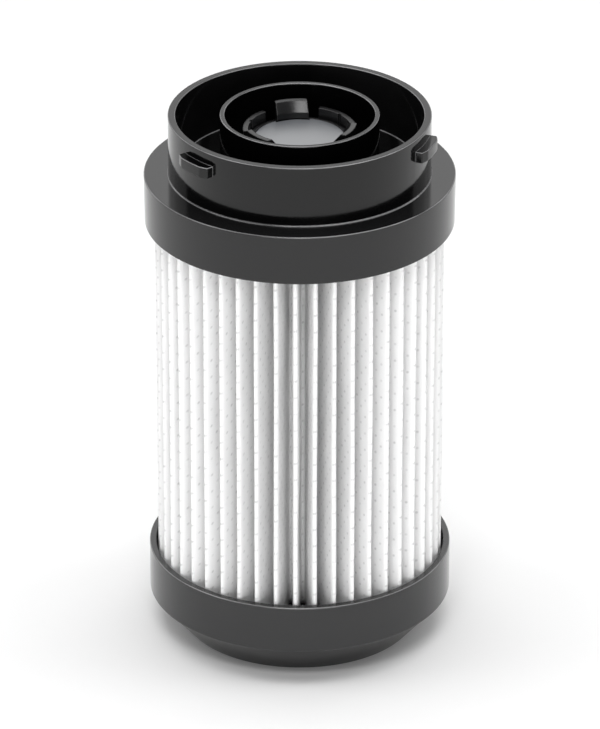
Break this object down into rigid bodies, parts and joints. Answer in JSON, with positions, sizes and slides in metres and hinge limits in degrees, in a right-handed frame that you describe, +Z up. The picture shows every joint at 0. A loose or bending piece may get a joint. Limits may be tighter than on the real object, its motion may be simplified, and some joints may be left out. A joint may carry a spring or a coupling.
{
  "type": "pump filter cartridge",
  "caption": "Cylindrical pleated water filter cartridge for a pump housing, with a bayonet collar, a central spigot and a sprung non-return valve.",
  "frame": {"origin": "on the cartridge's axis, at the underside of the foot", "axes": "+Z up along the axis towards the spigot; -Y towards the viewer of the pictured front, +X to its right"},
  "size_m": [0.0952, 0.0952, 0.1722],
  "materials": {
    "black_moulding": "glossy injection-moulded black polypropylene",
    "grey_acetal": "satin light grey acetal",
    "polyester_media": "white spunbonded polyester with embossed bond points",
    "core_plastic": "natural white polypropylene",
    "potting_resin": "cast black polyurethane",
    "seal_rubber": "black nitrile rubber",
    "spring_steel": "drawn stainless steel wire"
  },
  "bodies": {
    "cartridge": {"base_foot": "black_moulding", "end_cap_bottom": "black_moulding", "potting_bottom": "potting_resin", "pleated_media": "polyester_media", "media_seam": "polyester_media", "core_tube": "core_plastic", "potting_top": "potting_resin", "end_cap_top": "black_moulding", "bayonet_collar": "black_moulding", "valve_cage": "black_moulding", "valve_body": "black_moulding", "valve_o_ring": "seal_rubber", "valve_spring": "spring_steel"},
    "poppet": {"valve_poppet": "grey_acetal", "poppet_seal": "seal_rubber", "spring_seat": "grey_acetal", "stem_clip": "spring_steel"}
  },
  "joints": [
    {"name": "poppet_lift", "type": "slide", "parent": "cartridge", "child": "poppet", "axis": [0, 0, 1], "range_m": [0, 0.005], "stiffness_N_per_m": 120, "springref_m": -0.006, "deforming": ["valve_spring"]}
  ]
}
